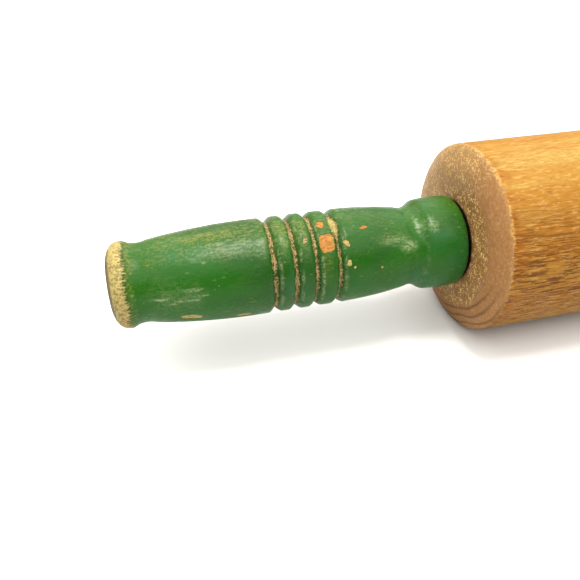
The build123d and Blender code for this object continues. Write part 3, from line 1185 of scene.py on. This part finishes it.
        # Rubbed thin mostly on the upper side: partly wear, partly painted light where the overhead light
        # falls
        upper = ease(math.cos(math.radians(angle + 14)), 0.45, 1.0)
        rub = upper * (0.22 + 0.5 * cloud) * (0.35 + 0.65 * ease(along, 26.0, 60.0)) + 0.12 * cloud
        rub += 0.75 * ease(along, bare_edge - 2.8, bare_edge + 0.2)
        # The pale channel starts from the painted highlight lines on the groove lips and in the cove
        scuff_and_highlight = self.lip_highlight(along, angle, spot)
        for place in self.worn_places:
            value = place.cover(along, angle, radius)
            if place.mark is Mark.RUBBED:
                rub += value
            elif place.mark is Mark.SCUFFED:
                scuff_and_highlight = max(scuff_and_highlight, value)
            elif value > loss:
                loss, tone = value, place.wood.value
        return Skin(loss, tone, clamp(rub), scuff_and_highlight, self.grime_and_shade(along))

    def sink(self, vertex: bpy.types.MeshVertex, loss: float) -> None:
        """Move one point of the skin in or out for unevenness, dents and lost paint."""
        x, y, z = vertex.co
        radius = math.hypot(y, z) / MM
        spot = Vector((x, y, z)) / MM
        uneven = self.unevenness * noise.noise(spot * 0.11 + Vector((self.seed, 0, 0)))
        dents = self.dent_depth * ease(noise.noise(spot * 0.45 + Vector((0, self.seed, 0))), 0.42, 0.75)
        sunk = self.paint_thickness * ease(loss, 0.42, 0.6)
        share = (radius + uneven - dents - sunk) / radius
        vertex.co.y, vertex.co.z = y * share, z * share

    def build(self) -> bpy.types.Object:
        """Build the handle's mesh, press its wear and unevenness into it and store the wear.

        Returns:
            The handle's object.
        """
        piece = spun_piece(f"{self.end.label}_turned_handle", self.outline(), self.segments)
        skins: list[Skin] = []
        for vertex in piece.data.vertices:
            x, y, z = vertex.co
            along = (x * self.end.value - self.start) / MM
            radius = math.hypot(y, z) / MM
            skin = self.wear(along, math.degrees(math.atan2(-y, z)), radius)
            skins.append(skin)
            if radius > self.recess_radius + 0.5 and 0.2 < along < self.length - 0.05:
                self.sink(vertex, skin.paint_loss)
        for name, values in zip(Skin._fields, zip(*skins)):
            store_values(piece, name, values)
        return piece

    def dress(self, piece: bpy.types.Object, paint: bpy.types.Material) -> None:
        """Paint the handle and hang it on its CAD body."""
        piece.data.materials.append(paint)
        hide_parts(f"{self.end.label}_handle")
        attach(piece, f"{self.end.label}_handle")


@dataclass(frozen=True)
class Stain:
    """A soaked place on the barrel's side, by its distance from the rim, its angle and its size in mm."""

    from_rim: float
    angle: float
    length: float
    width: float
    strength: float = 1.0

    def cover(self, from_rim: float, angle: float, radius: float) -> float:
        """How strongly this stain covers a place, from 0 to its strength."""
        across = math.radians((angle - self.angle + 180) % 360 - 180) * radius
        away = math.hypot(2 * (from_rim - self.from_rim) / self.length, 2 * across / self.width)
        return self.strength * ease(away, 1.3, 0.2)


LEFT_STAINS = (
    Stain(2.0, 21.0, 4.5, 6.0, 0.9),
    Stain(0.5, 72.0, 7.0, 17.0, 0.9),
    Stain(1.5, 95.0, 6.0, 8.0, 0.7),
    Stain(4.6, 98.5, 2.4, 1.6, 1.2),
    Stain(1.0, 45.0, 5.0, 8.0, 0.45),
    Stain(2.0, 200.0, 9.0, 14.0, 0.7),
)
RIGHT_STAINS = (
    Stain(1.5, 150.0, 8.0, 12.0, 0.8),
    Stain(3.0, 320.0, 6.0, 9.0, 0.7),
    Stain(1.0, 40.0, 5.0, 14.0, 0.6),
)


@dataclass
class Barrel:
    """The plain turned barrel, with rounded bands round its end faces.

    Sizes given here are millimetres. Those read from the CAD frame are metres.
    """

    dome_width: float = 8.2
    dome_drop: float = 3.0
    rim_round: float = 0.45
    bore_clearance: float = 1.2
    bush_recess: float = 0.9
    end_grain_from_rim: float = 0.6
    fraying_width: float = 1.5
    long_step: float = 1.6
    end_step: float = 0.42
    segments: int = 288
    face: float = field(init=False)
    radius: float = field(init=False)
    bore: float = field(init=False)
    bush_outer: float = field(init=False)
    flange_radius: float = field(init=False)

    def __post_init__(self) -> None:
        """Read the places that come from the CAD frame."""
        _, self.face, self.radius = node_ends("barrel", End.RIGHT)
        _, self.bush_outer, self.flange_radius = node_ends("right_barrel_bush", End.RIGHT)
        self.bore = node_ends("axle_rod", End.RIGHT)[2] + self.bore_clearance * MM

    @property
    def rim(self) -> float:
        """Distance of the rim from the middle of the pin, in metres."""
        return self.face - self.dome_drop * MM

    def half_outline(self) -> list[Place]:
        """(x, radius) points from the bush's recess out to the rim and along half of the side, in metres."""
        flat_edge = self.radius - self.dome_width * MM
        radii = even_steps(self.flange_radius, flat_edge, self.end_step * MM)
        flat = [(self.face, radius) for radius in radii]
        width, drop = self.dome_width, self.dome_drop
        round_radius = (width * width + drop * drop) / (2 * drop) * MM
        last = math.asin((width - self.rim_round) * MM / round_radius)
        dome = [
            (self.face - round_radius * (1 - math.cos(turn)), flat_edge + round_radius * math.sin(turn))
            for turn in even_steps(0.0, last, self.end_step * MM / round_radius)
        ]
        dome_end_x, dome_end_radius = dome[-1]
        corner = [
            (dome_end_x - 0.18 * MM, dome_end_radius + 0.25 * MM),
            (self.rim - self.rim_round * MM, self.radius),
        ]
        side = [(x, self.radius) for x in even_steps(self.rim - 1.2 * MM, 0.0, self.long_step * MM)]
        return flat + dome[1:] + corner + side

    def outline(self) -> list[Place]:
        """Closed outline of the barrel, with its bush recesses and bore."""
        seat = self.bush_outer - self.bush_recess * MM
        right = [(seat, self.bore), (seat, self.flange_radius)] + self.half_outline()
        left = [(-x, radius) for x, radius in reversed(right[:-1])]
        return right + left + [(0.0, self.bore)]

    def soak(self, x: float, y: float, z: float) -> float:
        """How stained a place near either rim is."""
        stains = LEFT_STAINS if x < 0 else RIGHT_STAINS
        angle, from_rim = math.degrees(math.atan2(-y, z)), (self.rim - abs(x)) / MM
        return max(stain.cover(from_rim, angle, math.hypot(y, z) / MM) for stain in stains)

    def roughen(self, vertex: bpy.types.MeshVertex) -> None:
        """Move one point for the sawn end grain, the frayed rim and the unevenness of the side."""
        x, y, z = vertex.co
        radius = math.hypot(y, z)
        spot = Vector((x, y, z)) / MM
        if abs(x) > self.rim - self.end_grain_from_rim * MM:
            saw = noise.noise(Vector((spot.x * 0.1, spot.y * 1.9 + spot.z * 0.5, spot.z * 0.42)))
            furry = noise.noise(spot * 1.7)
            vertex.co.x += math.copysign((0.06 * saw + 0.04 * furry - 0.06) * MM, x)
        near_rim = ease(abs(x), self.rim - self.fraying_width * MM, self.rim)
        uneven = 0.06 * noise.noise(Vector((spot.x * 0.02, spot.y * 0.08, spot.z * 0.08))) - 0.03
        frayed = 0.16 * near_rim * (noise.noise(spot * 0.9) - 0.35)
        share = (radius + (uneven + min(frayed, 0.0)) * MM) / radius
        vertex.co.y, vertex.co.z = y * share, z * share

    def build(self) -> bpy.types.Object:
        """Build the barrel's mesh, with sawn end grain and the faint unevenness of use.

        Returns:
            The barrel's object.
        """
        piece = spun_piece("turned_barrel", self.outline(), self.segments)
        store_values(piece, "rim_stain", [self.soak(*vertex.co) for vertex in piece.data.vertices])
        for vertex in piece.data.vertices:
            if math.hypot(vertex.co.y, vertex.co.z) >= self.flange_radius + 0.1 * MM:
                self.roughen(vertex)
        return piece

    def dress(self, piece: bpy.types.Object, wood: bpy.types.Material) -> None:
        """Give the barrel its wood and hang it on its CAD body."""
        piece.data.materials.append(wood)
        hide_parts("barrel")
        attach(piece, "barrel")


@dataclass
class Hardware:
    """The CAD pieces that stay as they are: rod, bushes, washers, nuts and plugs."""

    steel: bpy.types.Material
    plated: bpy.types.Material
    brass: bpy.types.Material
    plug: bpy.types.Material

    def dress(self) -> None:
        """Give each CAD piece its own finish."""
        self.finish("axle_rod", self.steel)
        for end in End:
            self.finish(f"{end.label}_barrel_bush", self.brass)
            self.finish(f"{end.label}_thrust_washer", self.plated)
            self.finish(f"{end.label}_end_washer", self.plated)
            self.finish(f"{end.label}_end_nut", self.plated)
            self.finish(f"{end.label}_end_plug", self.plug)

    def finish(self, node: str, material: bpy.types.Material) -> None:
        """Put one material on one CAD piece."""
        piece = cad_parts[node]
        if not piece.material_slots:
            piece.data.materials.append(material)
        for slot in piece.material_slots:
            slot.material = material
        log.info("%s: %s", node, material.name)


# --------------------------------------------------------------------------- studio


@dataclass
class Studio:
    """Pale floor, a broad soft box overhead, a small one inside it, a card behind, and the camera.

    Sizes are metres, powers watts and angles degrees.
    """

    floor_size: float = 6.0
    floor_shade: Colour = (0.74, 0.725, 0.69)
    floor_mottle: float = 0.985
    sky: Colour = (1.0, 1.0, 1.0)
    sky_strength: float = 0.18
    backdrop_strength: float = 1.0
    fade_start: float = 0.62
    fade_end: float = 1.1
    box_size: float = 2.4
    box_place: Triple = (0.0, 0.15, 0.78)
    box_power: float = 52.0
    key_size: float = 0.20
    key_place: Triple = (0.0, -0.03, 0.75)
    key_power: float = 4.0
    card_size: float = 1.6
    card_place: Triple = (0.0, 1.3, 0.35)
    card_power: float = 5.0
    eye: Triple = (-0.21074, -0.13385, 0.09549)
    lens: float = 35.81
    view_turn: float = -13.78
    view_rise: float = 37.53

    def floor(self, height: float) -> None:
        """Lay the floor under the pin, and let it fade into the backdrop far away.

        Args:
            height: The floor's height, in metres.
        """
        mesh_data = bpy.data.meshes.new("floor")
        shape = bmesh.new()
        bmesh.ops.create_grid(shape, x_segments=1, y_segments=1, size=self.floor_size / 2)
        bmesh.ops.translate(shape, verts=shape.verts, vec=(0, 0, height))
        shape.to_mesh(mesh_data)
        shape.free()
        floor = bpy.data.objects.new("floor", mesh_data)
        bpy.context.scene.collection.objects.link(floor)
        material, sheet, shader = start_material("white_card")
        position = sheet.place()
        shade = sheet.step(sheet.noise(position, 3.0, 1.0), 0.3, 0.7)
        dimmer = tuple(value * self.floor_mottle for value in self.floor_shade)
        sheet.feed(shader.inputs["Base Color"], sheet.blend(shade, self.floor_shade, dimmer))
        shader.inputs["Roughness"].default_value = 0.9
        glow = sheet.add("ShaderNodeEmission")
        sheet.feed(glow.inputs["Color"], self.sky)
        glow.inputs["Strength"].default_value = self.backdrop_strength
        far = sheet.step(sheet.length(position), self.fade_start, self.fade_end)
        far = sheet.times(far, sheet.add("ShaderNodeLightPath").outputs["Is Camera Ray"])
        surface = material.node_tree.get_output_node("ALL").inputs["Surface"]
        sheet.feed(surface, sheet.mixed_shader(far, shader.outputs["BSDF"], glow.outputs[0]))
        floor.data.materials.append(material)

    def backdrop(self) -> None:
        """Set a pale backdrop that the camera sees, and a dimmer sky that lights the pin."""
        world = bpy.data.worlds.new("studio")
        world.use_nodes = True
        world.node_tree.nodes.clear()
        sheet = NodeSheet(world.node_tree)
        seen, felt = (sheet.add("ShaderNodeBackground") for _ in range(2))
        for background, strength in ((seen, self.backdrop_strength), (felt, self.sky_strength)):
            sheet.feed(background.inputs["Color"], self.sky)
            background.inputs["Strength"].default_value = strength
        camera_ray = sheet.add("ShaderNodeLightPath").outputs["Is Camera Ray"]
        mixed = sheet.mixed_shader(camera_ray, felt.outputs[0], seen.outputs[0])
        sheet.feed(sheet.add("ShaderNodeOutputWorld").inputs["Surface"], mixed)
        bpy.context.scene.world = world

    def lights(self, middle: Vector) -> None:
        """Hang the soft boxes over one place and the card behind it."""
        self.lamp("soft_box", self.box_size, self.box_power, middle + Vector(self.box_place), 0.0)
        self.lamp("key", self.key_size, self.key_power, middle + Vector(self.key_place), 0.0)
        self.lamp("card", self.card_size, self.card_power, middle + Vector(self.card_place), -90.0)

    def lamp(self, name: str, size: float, power: float, place: Vector, tilt: float) -> None:
        """Hang one square lamp.

        Args:
            name: The lamp's name.
            size: Its side, in metres.
            power: Its power, in watts.
            place: Where it hangs.
            tilt: How far it is tipped about the X direction from facing straight down, in degrees.
        """
        light = bpy.data.lights.new(name, "AREA")
        light.shape = "SQUARE"
        light.size = size
        light.energy = power
        lamp = bpy.data.objects.new(name, light)
        lamp.matrix_world = Matrix.Translation(place) @ Matrix.Rotation(math.radians(tilt), 4, "X")
        bpy.context.scene.collection.objects.link(lamp)

    def camera(self) -> None:
        """Set up the camera, looking down at the near end of the pin."""
        rise, turn = math.radians(self.view_rise), math.radians(self.view_turn)
        back = Vector((math.sin(turn) * math.cos(rise), -math.cos(turn) * math.cos(rise), math.sin(rise)))
        right = Vector((math.cos(turn), math.sin(turn), 0.0))
        optics = bpy.data.cameras.new("camera")
        optics.lens = self.lens
        optics.sensor_width = 36.0
        optics.clip_start = 0.01
        view = bpy.data.objects.new("camera", optics)
        axes = Matrix((right, back.cross(right), back)).transposed().to_4x4()
        view.matrix_world = Matrix.Translation(Vector(self.eye)) @ axes
        bpy.context.scene.collection.objects.link(view)
        bpy.context.scene.camera = view

    def build(self, barrel: Barrel) -> None:
        """Set up the whole studio round the left end of the barrel."""
        bpy.context.scene.view_settings.view_transform = "Standard"
        self.floor(-barrel.radius)
        self.backdrop()
        self.lights(Vector((-barrel.rim, 0, -barrel.radius)))
        self.camera()


def main() -> None:
    """Build every piece in order."""
    logging.basicConfig(level=logging.INFO, format="%(name)s %(message)s")
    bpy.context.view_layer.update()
    patterns = Patterns.build()

    barrel = Barrel()
    piece = barrel.build()
    barrel.dress(piece, OiledBeech(barrel.rim, barrel.radius, COLLAR_RADIUS * MM).material(patterns))
    log.info("%s: %d faces", piece.name, len(piece.data.polygons))

    paint = WornGreenPaint().material(patterns)
    for handle in (Handle(End.LEFT, LEFT_WEAR, seed=3.0), Handle(End.RIGHT, RIGHT_WEAR, seed=47.0)):
        piece = handle.build()
        handle.dress(piece, paint)
        log.info("%s: %d faces", piece.name, len(piece.data.polygons))

    Hardware(
        steel=PlainMetal("drawn_steel", (0.58, 0.58, 0.60), (0.36, 0.35, 0.34), 0.3).material(patterns),
        plated=PlainMetal("dull_plating", (0.62, 0.62, 0.58), (0.40, 0.39, 0.34), 0.38).material(patterns),
        brass=PlainMetal("pressed_brass", (0.70, 0.50, 0.22), (0.42, 0.28, 0.11), 0.35).material(patterns),
        plug=BarePlugWood().material(patterns),
    ).dress()

    Studio().build(barrel)


if __name__ == "__main__":
    main()
